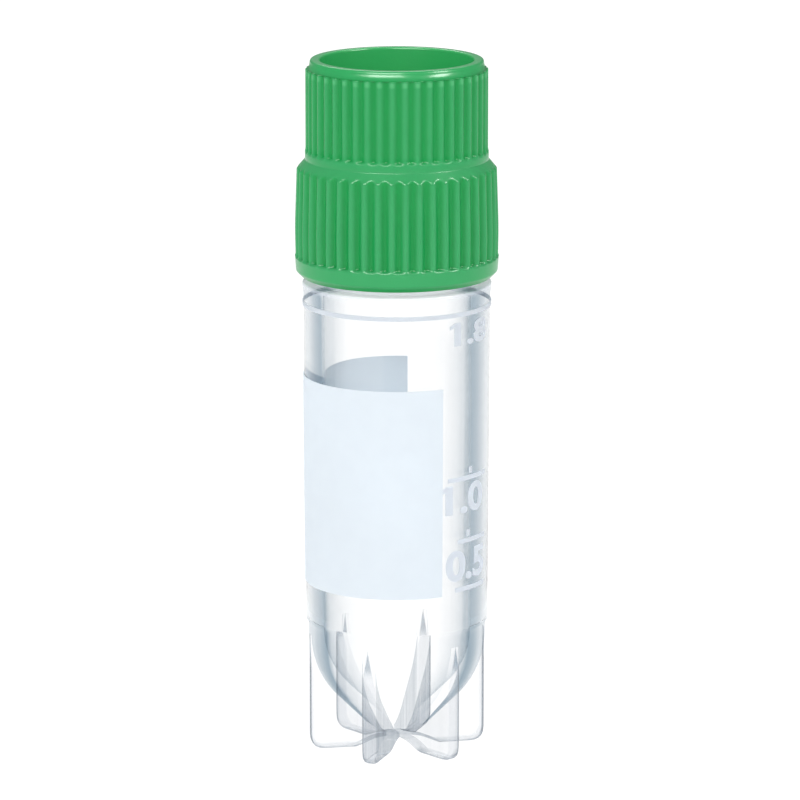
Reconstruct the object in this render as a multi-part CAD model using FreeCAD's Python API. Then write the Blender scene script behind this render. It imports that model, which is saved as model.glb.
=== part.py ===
import FreeCAD, Part
import math
import os

# Self-standing 2 ml cryogenic vial: a clear tube with a star foot and an outside thread, a two-step fluted
# screw cap with an open recess in its top, a sealing gasket, and the white print on the tube.
# Millimetres. +Z is up, the feet stand on z = 0, and the vial's axis is the Z axis.
# An azimuth is counted from the front (-Y) towards the right (+X), in degrees.

# ---------------------------------------------------------------- driving dimensions: tube
FOOT_R = 6.0                 # outer radius of the star foot
FIN_COUNT = 6
FIN_FIRST_AZIMUTH = -19.0
FIN_THICKNESS = 0.95
FIN_EDGE_CHAMFER = 0.28      # along the outer edges of each fin
FIN_CORNER_R = 1.0           # outer bottom corner of a fin, seen from its side
FOOT_FLAT_INNER_R = 3.0      # the flat that stands on the bench starts here
ARCH_HEIGHT = 0.8            # clear height under the middle of the foot

STEP_Z = 9.0                 # from the bench up to the step where the tube's wall starts
STEP_WIDTH = 0.17            # the tube wall stands out by this above the step
BOWL_BAND = 1.0              # from the step down to where the bottom starts to curve in
BOWL_CONE_SLOPE = 45.0       # of the conical part of the bottom, in degrees from the horizontal
BOWL_TIP_R = 3.4             # rounding of the cone's tip, outside
BOWL_WALL = 1.1              # wall of the cone and its tip

BODY_LENGTH = 23.2           # from the step up to the shoulder
BODY_R_BOTTOM = 6.14
BODY_R_TOP = 6.28
BODY_WALL = 1.18             # wall just above the bowl
COLLAR_FLARE = 0.1           # small outward flare at the shoulder's edge
COLLAR_HEIGHT = 0.75
SHOULDER_CHAMFER = 0.1

NECK_SETBACK = 0.72          # from the body's radius in to the neck's
NECK_HEIGHT = 6.4            # from the shoulder up to the rim
RIM_CHAMFER = 0.1

# ---------------------------------------------------------------- driving dimensions: thread
THREAD_PITCH = 3.0
THREAD_TURNS = 1.25
THREAD_DEPTH = 0.36
THREAD_BASE_WIDTH = 1.3
THREAD_CREST_WIDTH = 0.7
THREAD_TOP_MARGIN = 0.8      # from the rim down to the upper end of the neck's ridge
THREAD_ROOT_SINK = 0.15      # how far a ridge reaches into the wall that carries it
THREAD_RADIAL_CLEARANCE = 0.1
THREAD_FLANK_CLEARANCE = 0.08
THREAD_LOW_MARGIN = 0.3      # from the cap's lower edge up to the lower end of the cap's ridge
NECK_THREAD_END_AZIMUTH = 200.0

# ---------------------------------------------------------------- driving dimensions: gasket
GASKET_THICKNESS = 0.8
GASKET_OVERLAP = 0.55        # how far it reaches in past the rim's bore
GASKET_CLEARANCE = 0.06      # to the wall of the cap

# ---------------------------------------------------------------- driving dimensions: cap
CAP_GAP = 0.4                # between the cap's lower edge and the tube's shoulder
CAP_FLOOR = 1.2
CAP_RECESS_DEPTH = 6.6
CAP_RECESS_R = 5.12
CAP_RECESS_CHAMFER = 0.3
CAP_MOUTH_CHAMFER = 0.2

LIP_WIDTH = 0.65
LIP_TAPER = 0.1
LIP_HEIGHT = 0.65
LIP_CHAMFER = 0.12

DRUM_R = 6.13
DRUM_FOOT_BAND = 0.55        # plain band under the ribs
RIB_COUNT = 45
RIB_FIRST_AZIMUTH = 5.1
DRUM_RIB_DEPTH = 0.23
DRUM_CREST_SHARE = 0.3       # crest width over rib spacing

SKIRT_R_MAX = 6.86
SKIRT_R_TOP = 6.73
SKIRT_R_BOTTOM = 6.73
SKIRT_HEIGHT = 7.2           # lower edge up to where the shoulder slopes in
SKIRT_WIDEST_AT = 3.3        # height of the widest place above the lower edge
SKIRT_PLAIN_BAND = 1.35      # plain height at the lower edge
SKIRT_RIB_DEPTH = 0.36       # at the widest place
SKIRT_CREST_SHARE = 0.3
SKIRT_EDGE_CHAMFER = 0.42
SHOULDER_SLOPE_HEIGHT = 0.7
CREST_OVERRUN = 0.15         # share of a flank by which the groove cutter passes the crests
RIB_RELIEF = 0.03            # the forms that slope the ribs' tops stand this far clear of their sides
BAND_LEDGE = 0.03            # the plain bands stand this far out past the ribs' crests

# ---------------------------------------------------------------- driving dimensions: print
INK_THICKNESS = 0.04
INK_GAP = 0.02               # keeps the film off the wall's surface
PANEL_BOTTOM_Z = 11.7
PANEL_HEIGHT = 14.2
PANEL_AZIMUTHS = (-187.8, 29.2)
LINE_WIDTH = 0.3
FILL_RING_DROP = 1.4         # from the shoulder down to the fill ring
VOLUME_LINES = (             # height of the line, its first and last azimuth
    (19.6, 33.0, 70.0),
    (15.3, 41.0, 70.0),
    (12.0, 39.0, 70.0),
)
TICK_HEIGHT = 0.45
TICK_GAP = 0.12              # between a volume line and the tick over it
TICK_AZIMUTHS = (52.0, 50.0)

# ---------------------------------------------------------------- places worked out from them
SHOULDER_Z = STEP_Z + BODY_LENGTH
RIM_Z = SHOULDER_Z + NECK_HEIGHT
BOWL_R = BODY_R_BOTTOM - STEP_WIDTH
BOWL_TOP_Z = STEP_Z - BOWL_BAND
BOWL_TIP_Z = BOWL_TOP_Z - BOWL_TIP_R - (BOWL_R - BOWL_TIP_R) / math.cos(math.radians(BOWL_CONE_SLOPE))
BORE_R = BODY_R_BOTTOM - BODY_WALL
NECK_R = BODY_R_TOP - NECK_SETBACK
NECK_CREST_R = NECK_R + THREAD_DEPTH

CAP_BOTTOM_Z = SHOULDER_Z + CAP_GAP
CAP_CAVITY_R = NECK_CREST_R + THREAD_RADIAL_CLEARANCE
CAP_THREAD_R = NECK_R + THREAD_RADIAL_CLEARANCE
CAP_CEILING_Z = RIM_Z + GASKET_THICKNESS
RECESS_FLOOR_Z = CAP_CEILING_Z + CAP_FLOOR
CAP_TOP_Z = RECESS_FLOOR_Z + CAP_RECESS_DEPTH
LIP_R = CAP_RECESS_R + LIP_WIDTH
LIP_FOOT_R = LIP_R + LIP_TAPER
DRUM_TOP_Z = CAP_TOP_Z - LIP_HEIGHT
SKIRT_TOP_Z = CAP_BOTTOM_Z + SKIRT_HEIGHT
DRUM_FOOT_Z = SKIRT_TOP_Z + SHOULDER_SLOPE_HEIGHT

AXIS = FreeCAD.Vector(0, 0, 1)
ORIGIN = FreeCAD.Vector(0, 0, 0)


def point(r, z):
    """A point of a half section, in the XZ plane."""
    return FreeCAD.Vector(r, 0, z)


def line(a, b):
    return Part.LineSegment(a, b).toShape()


def arc(a, middle, b):
    return Part.Arc(a, middle, b).toShape()


def drafted_line(a, b):
    """A straight edge kept as a spline, because turning it gives a wall that meshes in few facets."""
    curve = Part.BezierCurve()
    curve.setPoles([a, b])
    return curve.toShape()


def turned(edges, angle=360.0):
    """Solid of revolution about the vial's axis from the edges of a closed half section."""
    face = Part.Face(Part.Wire(edges))
    return face.revolve(ORIGIN, AXIS, angle)


def lines(points):
    """Straight edges from each point to the next."""
    return [line(a, b) for a, b in zip(points, points[1:])]


def turned_polygon(points):
    return turned(lines(points + points[:1]))


def at_azimuth(shape, azimuth):
    """Turn a shape made at azimuth 90 (along +X) to its azimuth."""
    placed = shape.copy()
    placed.rotate(ORIGIN, AXIS, azimuth - 90.0)
    return placed


def polar(r, azimuth, z=0.0):
    a = math.radians(azimuth - 90.0)
    return FreeCAD.Vector(r * math.cos(a), r * math.sin(a), z)


def azimuth_of(place):
    return math.degrees(math.atan2(place.y, place.x)) + 90.0


def chamfered(before, corner, after, size):
    """The two points that replace a corner of a half section when it is cut off."""
    return (
        corner + (before - corner).normalize() * size,
        corner + (after - corner).normalize() * size,
    )


def on_ball(centre_z, r, angle):
    """Point of a ball on the axis, at an angle in degrees from straight down."""
    a = math.radians(angle)
    return point(r * math.sin(a), centre_z - r * math.cos(a))


def side_ball_z(tip_z, tip_r, side_r):
    """Height of the larger ball's centre, so that one cone touches it and the ball at the tip."""
    return tip_z + tip_r + (side_r - tip_r) / math.cos(math.radians(BOWL_CONE_SLOPE))


def round_cone(tip_z, tip_r, side_r):
    """Edges of a rounded conical bottom, from its tip on the axis up to where it becomes a cylinder."""
    slope = BOWL_CONE_SLOPE
    tip = [on_ball(tip_z + tip_r, tip_r, angle) for angle in (0, slope / 2, slope)]
    side_z = side_ball_z(tip_z, tip_r, side_r)
    side = [on_ball(side_z, side_r, angle) for angle in (slope, (slope + 90) / 2, 90)]
    return [arc(*tip), line(tip[-1], side[0]), arc(*side)]


# ---------------------------------------------------------------- tube
def body_r(z):
    """Outer radius of the drafted tube wall at a height."""
    return BODY_R_BOTTOM + (BODY_R_TOP - BODY_R_BOTTOM) * (z - STEP_Z) / BODY_LENGTH


def tube_outside():
    """Bottom, band, step, drafted wall, flared collar, shoulder and neck, solid inside."""
    collar = point(BODY_R_TOP + COLLAR_FLARE, SHOULDER_Z)
    wall_top = point(body_r(SHOULDER_Z - COLLAR_HEIGHT), SHOULDER_Z - COLLAR_HEIGHT)
    neck_foot = point(NECK_R, SHOULDER_Z)
    rim = point(NECK_R, RIM_Z)
    axis_top = point(0, RIM_Z)
    wall_foot = point(BODY_R_BOTTOM, STEP_Z)
    below = [point(BOWL_R, BOWL_TOP_Z), point(BOWL_R, STEP_Z - STEP_WIDTH), wall_foot]
    above = [
        wall_top,
        *chamfered(wall_top, collar, neck_foot, SHOULDER_CHAMFER),
        neck_foot,
        *chamfered(neck_foot, rim, axis_top, RIM_CHAMFER),
        axis_top,
        point(0, BOWL_TIP_Z),
    ]
    bottom = round_cone(BOWL_TIP_Z, BOWL_TIP_R, BOWL_R)
    return turned(bottom + lines(below) + [drafted_line(wall_foot, wall_top)] + lines(above))


def tube_bore():
    """The space inside the tube, from past the rim down to a cone whose rounds are made of flats."""
    tip_z = BOWL_TIP_Z + BOWL_WALL
    tip_r = BOWL_TIP_R - BOWL_WALL
    slope = BOWL_CONE_SLOPE
    side_z = side_ball_z(tip_z, tip_r, BORE_R)
    mouth_z = RIM_Z + 1.0
    tip = point(0, tip_z)
    bowl = [on_ball(tip_z + tip_r, tip_r, angle) for angle in (slope / 2, slope)]
    bowl += [on_ball(side_z, BORE_R, angle) for angle in (slope, (slope + 90) / 2, 90)]
    return turned_polygon([tip, *bowl, point(BORE_R, mouth_z), point(0, mouth_z)])


def star_fin():
    """One fin of the star foot, along +X: arched underneath, a flat foot and bevelled outer edges."""
    top = point(FOOT_R, BOWL_TOP_Z)
    side_low = point(FOOT_R, FIN_CORNER_R)
    lean = FIN_CORNER_R * (1 - math.sqrt(0.5))
    foot_out = point(FOOT_R - FIN_CORNER_R, 0)
    foot_in = point(FOOT_FLAT_INNER_R, 0)
    arch_shoulder = point(FOOT_FLAT_INNER_R / 2, ARCH_HEIGHT * 0.8)
    arch_top = point(0, ARCH_HEIGHT)
    inner_top = point(0, BOWL_TOP_Z)
    outline = Part.Wire([
        line(inner_top, top),
        line(top, side_low),
        arc(side_low, point(FOOT_R - lean, lean), foot_out),
        line(foot_out, foot_in),
        arc(foot_in, arch_shoulder, arch_top),
        line(arch_top, inner_top),
    ])
    fin = Part.Face(outline).extrude(FreeCAD.Vector(0, FIN_THICKNESS, 0))
    fin.translate(FreeCAD.Vector(0, -FIN_THICKNESS / 2, 0))
    edges = [e for e in fin.Edges if fin_edge_is_bevelled(e)]
    return fin.makeChamfer(FIN_EDGE_CHAMFER, edges)


def fin_edge_is_bevelled(edge):
    """The long edges down the outside, round the corner and along the foot."""
    box = edge.BoundBox
    on_side = abs(box.YMax - box.YMin) < 1e-6
    on_top = box.ZMin > BOWL_TOP_Z - 1e-6
    on_axis = box.XMax < 1e-6
    on_arch = box.XMax < FOOT_FLAT_INNER_R + 1e-6
    return on_side and not on_top and not on_axis and not on_arch


def star_foot():
    fin = star_fin()
    step = 360.0 / FIN_COUNT
    return [at_azimuth(fin, FIN_FIRST_AZIMUTH + i * step) for i in range(FIN_COUNT)]


# ---------------------------------------------------------------- threads
def with_thread(wall, base_r, crest_r, low_z, azimuth):
    """Fuse a thread ridge to a wall: a trapezoid swept up a right-hand helix, with round button ends.

    base_r is the radius of the wall that carries it and crest_r the radius of its crest, so the same
    function makes the neck's ridge (crest outside the wall) and the cap's (crest inside the wall).
    """
    outward = 1.0 if crest_r > base_r else -1.0
    sunk_r = base_r - outward * THREAD_ROOT_SINK
    height = THREAD_PITCH * THREAD_TURNS
    half_base = THREAD_BASE_WIDTH / 2
    half_crest = THREAD_CREST_WIDTH / 2
    flank = (half_base - half_crest) / abs(crest_r - base_r)
    half_sunk = half_base + flank * THREAD_ROOT_SINK

    path = Part.makeHelix(THREAD_PITCH, height, base_r)
    section = Part.makePolygon([
        point(sunk_r, -half_sunk),
        point(crest_r, -half_crest),
        point(crest_r, half_crest),
        point(sunk_r, half_sunk),
        point(sunk_r, -half_sunk),
    ])
    ridge = Part.Wire(path.Edges).makePipeShell([section], True, True)

    inwards = FreeCAD.Vector(crest_r - sunk_r, 0, 0)
    low_end = Part.makeCone(half_sunk, half_crest, inwards.Length, point(sunk_r, 0), inwards)
    high_end = low_end.copy()
    high_end.rotate(ORIGIN, AXIS, 360.0 * THREAD_TURNS)
    high_end.translate(AXIS * height)

    solid = wall
    for piece in (ridge, low_end, high_end):
        placed = at_azimuth(piece, azimuth)
        placed.translate(AXIS * low_z)
        solid = solid.fuse(placed)
    return solid


def neck_thread_low_z():
    """Height of the ridge's centre at its lower end, set from the rim down."""
    top = RIM_Z - THREAD_TOP_MARGIN - THREAD_BASE_WIDTH / 2
    return top - THREAD_PITCH * THREAD_TURNS


def neck_thread_low_azimuth():
    return NECK_THREAD_END_AZIMUTH - 360.0 * THREAD_TURNS


def cap_thread_low_z():
    return CAP_BOTTOM_Z + THREAD_LOW_MARGIN + THREAD_BASE_WIDTH / 2


def cap_thread_low_azimuth():
    """The cap's ridge lies one ridge width under the neck's all along, with the flank clearance between."""
    pitch_line_width = (THREAD_BASE_WIDTH + THREAD_CREST_WIDTH) / 2
    drop = pitch_line_width + THREAD_FLANK_CLEARANCE
    climb = cap_thread_low_z() - (neck_thread_low_z() - drop)
    return neck_thread_low_azimuth() + 360.0 * climb / THREAD_PITCH


def vial_tube():
    solid = tube_outside().fuse(star_foot())
    solid = solid.cut(tube_bore()).removeSplitter()
    return with_thread(solid, NECK_R, NECK_CREST_R, neck_thread_low_z(), neck_thread_low_azimuth())


# ---------------------------------------------------------------- cap
def skirt_r(z):
    """Crest radius of the barrel-shaped skirt: a parabola each side of its widest place."""
    widest_z = CAP_BOTTOM_Z + SKIRT_WIDEST_AT
    if z > widest_z:
        share = (z - widest_z) / (SKIRT_TOP_Z - widest_z)
        return SKIRT_R_MAX - (SKIRT_R_MAX - SKIRT_R_TOP) * share ** 2
    share = (widest_z - z) / SKIRT_WIDEST_AT
    return SKIRT_R_MAX - (SKIRT_R_MAX - SKIRT_R_BOTTOM) * share ** 2


def rib_polygon(crest_r, z):
    """Regular polygon with one side for each rib's crest."""
    pitch = 360.0 / RIB_COUNT
    corner_r = crest_r / math.cos(math.radians(pitch / 2))
    points = [polar(corner_r, RIB_FIRST_AZIMUTH + (i + 0.5) * pitch, z) for i in range(RIB_COUNT)]
    return Part.makePolygon(points + points[:1])


def star_bar(groove_r, crest_r, crest_share, low_z, high_z, overrun=0.0):
    """Upright bar with a V groove between each two ribs; its crests can overrun the ribs it shapes."""
    pitch = 360.0 / RIB_COUNT
    groove = polar(groove_r, pitch / 2)
    corner = polar(crest_r, pitch * crest_share / 2)
    corner += (corner - groove) * overrun
    corner_r = math.hypot(corner.x, corner.y)
    half_crest = azimuth_of(corner)
    points = []
    for i in range(RIB_COUNT):
        azimuth = RIB_FIRST_AZIMUTH + i * pitch
        points += [
            polar(corner_r, azimuth - half_crest, low_z),
            polar(corner_r, azimuth + half_crest, low_z),
            polar(groove_r, azimuth + pitch / 2, low_z),
        ]
    section = Part.Face(Part.makePolygon(points + points[:1]))
    return section.extrude(AXIS * (high_z - low_z))


def slope_trim(clear_r, low_z, slope_foot, slope_top):
    """Turned form that stands clear of the ribs and leaves only the slope to cut their tops."""
    rise = (slope_top.z - slope_foot.z) / (slope_foot.x - slope_top.x)
    return turned_polygon([
        point(0, low_z),
        point(clear_r, low_z),
        point(clear_r, slope_foot.z - (clear_r - slope_foot.x) * rise),
        slope_top,
        point(0, slope_top.z),
    ])


def plain_band():
    """Unribbed lower edge of the skirt, chamfered underneath."""
    top_z = CAP_BOTTOM_Z + SKIRT_PLAIN_BAND
    chamfer_z = CAP_BOTTOM_Z + SKIRT_EDGE_CHAMFER
    side = point(skirt_r(chamfer_z), chamfer_z)
    return turned_polygon([
        point(0, CAP_BOTTOM_Z),
        point(side.x - SKIRT_EDGE_CHAMFER, CAP_BOTTOM_Z),
        side,
        point(skirt_r(top_z), top_z),
        point(0, top_z),
    ])


def ribbed_skirt():
    """Ribs that swell with the barrel from the plain band up, and run out in the sloping shoulder."""
    low_z = CAP_BOTTOM_Z + SKIRT_PLAIN_BAND
    widest_z = CAP_BOTTOM_Z + SKIRT_WIDEST_AT
    crest_line = [
        (skirt_r(low_z) - BAND_LEDGE, low_z),
        (SKIRT_R_MAX, widest_z),
        (SKIRT_R_TOP, SKIRT_TOP_Z),
        (SKIRT_R_TOP, DRUM_FOOT_Z),
    ]
    barrel = Part.makeLoft([rib_polygon(r, z) for r, z in crest_line], True, True)
    groove_r = SKIRT_R_MAX - SKIRT_RIB_DEPTH
    grooves = star_bar(groove_r, SKIRT_R_MAX, SKIRT_CREST_SHARE, low_z, DRUM_FOOT_Z, CREST_OVERRUN)
    slope_foot = point(SKIRT_R_TOP, SKIRT_TOP_Z)
    shoulder = slope_trim(SKIRT_R_MAX + RIB_RELIEF, low_z, slope_foot, point(DRUM_R, DRUM_FOOT_Z))
    return barrel.common(grooves).common(shoulder)


def ribbed_drum():
    """Straight ribs on the narrower upper part, whose grooves run out in the bevel up to the lip."""
    low_z = DRUM_FOOT_Z + DRUM_FOOT_BAND
    crest_r = DRUM_R - BAND_LEDGE
    bevel = crest_r - LIP_FOOT_R
    ribs = star_bar(DRUM_R - DRUM_RIB_DEPTH, crest_r, DRUM_CREST_SHARE, low_z, DRUM_TOP_Z)
    top = slope_trim(DRUM_R, low_z, point(crest_r, DRUM_TOP_Z - bevel), point(LIP_FOOT_R, DRUM_TOP_Z))
    return ribs.common(top)


def drum_foot():
    """Plain band under the drum's ribs."""
    return Part.makeCylinder(DRUM_R, DRUM_FOOT_BAND, point(0, DRUM_FOOT_Z))


def lip():
    """Smooth tapered ring that stands above the ribs round the mouth of the recess."""
    foot = point(LIP_FOOT_R, DRUM_TOP_Z)
    top = point(LIP_R, CAP_TOP_Z)
    middle = point(0, CAP_TOP_Z)
    return turned_polygon([
        point(0, DRUM_TOP_Z),
        foot,
        *chamfered(foot, top, middle, LIP_CHAMFER),
        middle,
    ])


def cap_recess():
    """The open well in the top that takes a colour-code insert."""
    middle = point(0, RECESS_FLOOR_Z)
    floor_edge = point(CAP_RECESS_R, RECESS_FLOOR_Z)
    over_z = CAP_TOP_Z + 1.0
    over = point(CAP_RECESS_R, over_z)
    return turned_polygon([
        middle,
        *chamfered(middle, floor_edge, over, CAP_RECESS_CHAMFER),
        over,
        point(0, over_z),
    ])


def cap_cavity():
    """The space over the neck, from below the lower edge up to the ceiling that holds the gasket."""
    under_z = CAP_BOTTOM_Z - 1.0
    flare_r = CAP_CAVITY_R + CAP_MOUTH_CHAMFER
    return turned_polygon([
        point(0, under_z),
        point(flare_r, under_z),
        point(flare_r, CAP_BOTTOM_Z),
        point(CAP_CAVITY_R, CAP_BOTTOM_Z + CAP_MOUTH_CHAMFER),
        point(CAP_CAVITY_R, CAP_CEILING_Z),
        point(0, CAP_CEILING_Z),
    ])


def screw_cap():
    solid = plain_band().fuse([ribbed_skirt(), drum_foot(), ribbed_drum(), lip()])
    solid = solid.cut([cap_recess(), cap_cavity()]).removeSplitter()
    return with_thread(solid, CAP_CAVITY_R, CAP_THREAD_R, cap_thread_low_z(), cap_thread_low_azimuth())


# ---------------------------------------------------------------- gasket
def cap_gasket():
    """Flat sealing ring between the tube's rim and the cap's ceiling."""
    outer_r = CAP_CAVITY_R - GASKET_CLEARANCE
    inner_r = BORE_R - GASKET_OVERLAP
    ring = Part.makeCylinder(outer_r, GASKET_THICKNESS, point(0, RIM_Z))
    return ring.cut(Part.makeCylinder(inner_r, GASKET_THICKNESS, point(0, RIM_Z)))


# ---------------------------------------------------------------- print
def ink_field(low_z, high_z, first_azimuth, last_azimuth):
    """Thin film of ink that follows the drafted wall between two heights and two azimuths."""
    inner_low = point(body_r(low_z) + INK_GAP, low_z)
    inner_high = point(body_r(high_z) + INK_GAP, high_z)
    outward = point(INK_THICKNESS, 0)
    outer_low, outer_high = inner_low + outward, inner_high + outward
    edges = [
        line(inner_low, outer_low),
        drafted_line(outer_low, outer_high),
        line(outer_high, inner_high),
        drafted_line(inner_high, inner_low),
    ]
    film = turned(edges, last_azimuth - first_azimuth)
    return at_azimuth(film, first_azimuth)


def writing_panel():
    return ink_field(PANEL_BOTTOM_Z, PANEL_BOTTOM_Z + PANEL_HEIGHT, *PANEL_AZIMUTHS)


def graduation_print():
    """Fill ring, volume lines and the small ticks that stand on two of them."""
    half = LINE_WIDTH / 2
    ring_z = SHOULDER_Z - FILL_RING_DROP
    fields = [ink_field(ring_z - half, ring_z + half, 0.0, 360.0)]
    for z, first, last in VOLUME_LINES:
        fields.append(ink_field(z - half, z + half, first, last))
    half_tick = math.degrees(half / BODY_R_BOTTOM)
    for (z, _, _), azimuth in zip(VOLUME_LINES, TICK_AZIMUTHS):
        foot_z = z + half + TICK_GAP
        fields.append(ink_field(foot_z, foot_z + TICK_HEIGHT, azimuth - half_tick, azimuth + half_tick))
    return Part.makeCompound(fields)


def main():
    os.makedirs("parts", exist_ok=True)
    nodes = {
        "vial_tube": vial_tube(),
        "screw_cap": screw_cap(),
        "cap_gasket": cap_gasket(),
        "writing_panel": writing_panel(),
        "graduation_print": graduation_print(),
    }
    for name, shape in nodes.items():
        print(name, "valid", shape.isValid(), "solids", len(shape.Solids), "faces", len(shape.Faces),
              "volume", round(shape.Volume, 3), "box", shape.BoundBox)
        shape.exportStep(f"parts/{name}.step")


main()
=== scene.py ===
# %% [markdown]
# # A cryogenic vial, dressed for its picture
# The imported model gives every piece its size and place. This lesson makes the cap and the tube again with
# softer edges, prints the numbers, and gives every piece its finish: clear moulded plastic for the tube,
# satin green for the fluted cap, silicone for the gasket and matt white for the print. The first cell loads
# the model, whose pieces give the sizes below.

# %% Load the frame
import math

import bmesh
import bpy
from mathutils import Matrix, Vector


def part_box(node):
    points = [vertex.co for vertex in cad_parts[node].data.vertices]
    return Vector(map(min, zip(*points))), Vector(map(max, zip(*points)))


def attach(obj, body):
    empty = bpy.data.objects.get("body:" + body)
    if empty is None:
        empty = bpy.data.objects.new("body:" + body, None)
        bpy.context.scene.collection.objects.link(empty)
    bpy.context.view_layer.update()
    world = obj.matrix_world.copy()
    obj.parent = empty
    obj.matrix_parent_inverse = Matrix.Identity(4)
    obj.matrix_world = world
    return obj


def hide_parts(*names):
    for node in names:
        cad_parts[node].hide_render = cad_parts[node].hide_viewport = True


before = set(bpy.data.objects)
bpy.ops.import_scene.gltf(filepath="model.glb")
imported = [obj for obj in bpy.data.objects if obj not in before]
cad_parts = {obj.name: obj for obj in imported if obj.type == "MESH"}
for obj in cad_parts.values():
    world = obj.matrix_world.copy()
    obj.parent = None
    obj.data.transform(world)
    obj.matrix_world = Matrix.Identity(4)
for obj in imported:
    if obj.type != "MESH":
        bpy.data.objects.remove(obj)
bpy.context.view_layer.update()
MM = 0.001

# %% [markdown]
# ## The camera
# A long lens from some distance keeps the sides of a small object nearly parallel, where a short one close by
# would spread them. Here the camera stands a third of a metre in front of the vial and looks down on it a
# little, so the mouth of the cap shows as an ellipse.

# %% Camera
AIM_HEIGHT = 24.0 * MM
CAMERA_DISTANCE = 354.6 * MM
CAMERA_ELEVATION = math.radians(12.33)
CAMERA_ASIDE = 0.21 * MM
LENS = 237.0

aim = Vector((CAMERA_ASIDE, 0, AIM_HEIGHT))
away = Vector((0, -math.cos(CAMERA_ELEVATION), math.sin(CAMERA_ELEVATION)))
camera_data = bpy.data.cameras.new("camera")
camera_data.lens = LENS
camera_data.sensor_width = 36.0
camera_data.clip_start = 0.01
camera_data.clip_end = 10.0
camera = bpy.data.objects.new("camera", camera_data)
camera.location = aim + away * CAMERA_DISTANCE
camera.rotation_euler = (-away).to_track_quat("-Z", "Y").to_euler()
bpy.context.scene.collection.objects.link(camera)
bpy.context.scene.camera = camera
print("camera at", [round(v, 4) for v in camera.location])

# %% [markdown]
# ## Shader sums
# Node trees are easier to read as sums. `Wire` holds one output of a node, and adding, subtracting or
# multiplying wires adds the Math nodes for it. `Finish` makes a material's tree and adds any other node.

# %% Wires
class Wire:
    """One output of a node, which takes part in sums."""

    def __init__(self, finish, output):
        self.finish = finish
        self.output = output

    def sum(self, operation, *values):
        return self.finish.node("ShaderNodeMath", {"operation": operation}, dict(enumerate(values)))

    def __add__(self, other):
        return self.sum("ADD", self, other)

    def __sub__(self, other):
        return self.sum("SUBTRACT", self, other)

    def __mul__(self, other):
        return self.sum("MULTIPLY", self, other)

    def __rsub__(self, other):
        return self.sum("SUBTRACT", other, self)

    __radd__ = __add__
    __rmul__ = __mul__

    def root(self):
        return self.sum("SQRT", self)

    def without_sign(self):
        return self.sum("ABSOLUTE", self)

    def at_least(self, other):
        return self.sum("MAXIMUM", self, other)

    def at_most(self, other):
        return self.sum("MINIMUM", self, other)

    def between(self, low, high):
        """0 below low, 1 above high, and a smooth step from one to the other."""
        return self.finish.node(
            "ShaderNodeMapRange",
            {"interpolation_type": "SMOOTHSTEP"},
            {"Value": self, "From Min": low, "From Max": high},
        )

    def also(self, name):
        """Another output of the same node."""
        return Wire(self.finish, self.output.node.outputs[name])


print("wires ready")

# %% Finishes
class Finish:
    """A material or world, with one method that adds any node to its tree."""

    def __init__(self, owner):
        owner.use_nodes = True
        self.owner = owner
        self.tree = owner.node_tree
        self.tree.nodes.clear()

    def node(self, kind, settings=None, sockets=None, output=0):
        made = self.tree.nodes.new(kind)
        for name, value in (settings or {}).items():
            if name == "stops":
                self.set_stops(made.color_ramp, value)
            else:
                setattr(made, name, value)
        for name, value in (sockets or {}).items():
            if isinstance(value, Wire):
                self.tree.links.new(value.output, made.inputs[name])
            else:
                made.inputs[name].default_value = value
        return Wire(self, made.outputs[output]) if made.outputs else None

    def set_stops(self, ramp, stops):
        while len(ramp.elements) < len(stops):
            ramp.elements.new(0.5)
        for element, (place, colour) in zip(ramp.elements, stops):
            element.position = place
            element.color = (*colour, 1.0)

    def mix(self, factor, first, second):
        """First colour where the factor is 0, second where it is 1."""
        return self.node(
            "ShaderNodeMix",
            {"data_type": "RGBA"},
            {"Factor": factor, 6: first, 7: second},
            output=2,
        )

    def either(self, factor, first, second):
        """First shader where the factor is 0, second where it is 1."""
        return self.node("ShaderNodeMixShader", {}, {0: factor, 1: first, 2: second})

    def wear(self, shader):
        """Make this shader the look of the material."""
        self.node("ShaderNodeOutputMaterial", {}, {"Surface": shader})


def material(name):
    """A new material with an empty tree."""
    return Finish(bpy.data.materials.new(name))


print("finishes ready")

# %% [markdown]
# ## Colours
# A shader counts light evenly, while a screen spaces its 0-255 steps by eye. Colours are easier to choose in
# the screen's steps, so `shade` turns those into what the shader takes.

# %% Colours
WHITE = (1, 1, 1, 1)


def shade(red, green, blue):
    """A colour given in 0-255 steps, as the linear colour and alpha that a shader takes."""
    def linear(step):
        share = step / 255
        return share / 12.92 if share <= 0.04045 else ((share + 0.055) / 1.055) ** 2.4

    return linear(red), linear(green), linear(blue), 1.0


print("middle grey is", [round(v, 3) for v in shade(128, 128, 128)])

# %% [markdown]
# ## The studio
# Clear plastic has hardly any look of its own: it shows what stands round it. The world is white to the
# camera and to everything that the plastic bends, so the middle of the tube stays clean. Mirrored light sees
# it much dimmer, or a pale veil would lie on the green cap.

# %% World
MIRRORED = 0.25

world = bpy.data.worlds.new("studio")
bpy.context.scene.world = world
studio = Finish(world)
rays = studio.node("ShaderNodeLightPath", output="Is Camera Ray")
strength = 1.0 - rays.also("Is Glossy Ray") * (1.0 - MIRRORED)
background = studio.node("ShaderNodeBackground", {}, {"Color": WHITE, "Strength": strength})
studio.node("ShaderNodeOutputWorld", {}, {"Surface": background})
print("world ready, mirrored at", MIRRORED)

# %% [markdown]
# ## The floor
# The vial stands on white paper. A plain white sheet would have to be lit far more than the vial to look
# white, so the paper glows a little to the camera and through the plastic. It keeps a share of matt paper, on
# which the vial's soft shadow falls.

# %% Floor
FLOOR_RADIUS = 1.2
PAPER_WHITE = 0.85
PAPER_GLOW = 1.08
GLOWING_SHARE = 0.82

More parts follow.
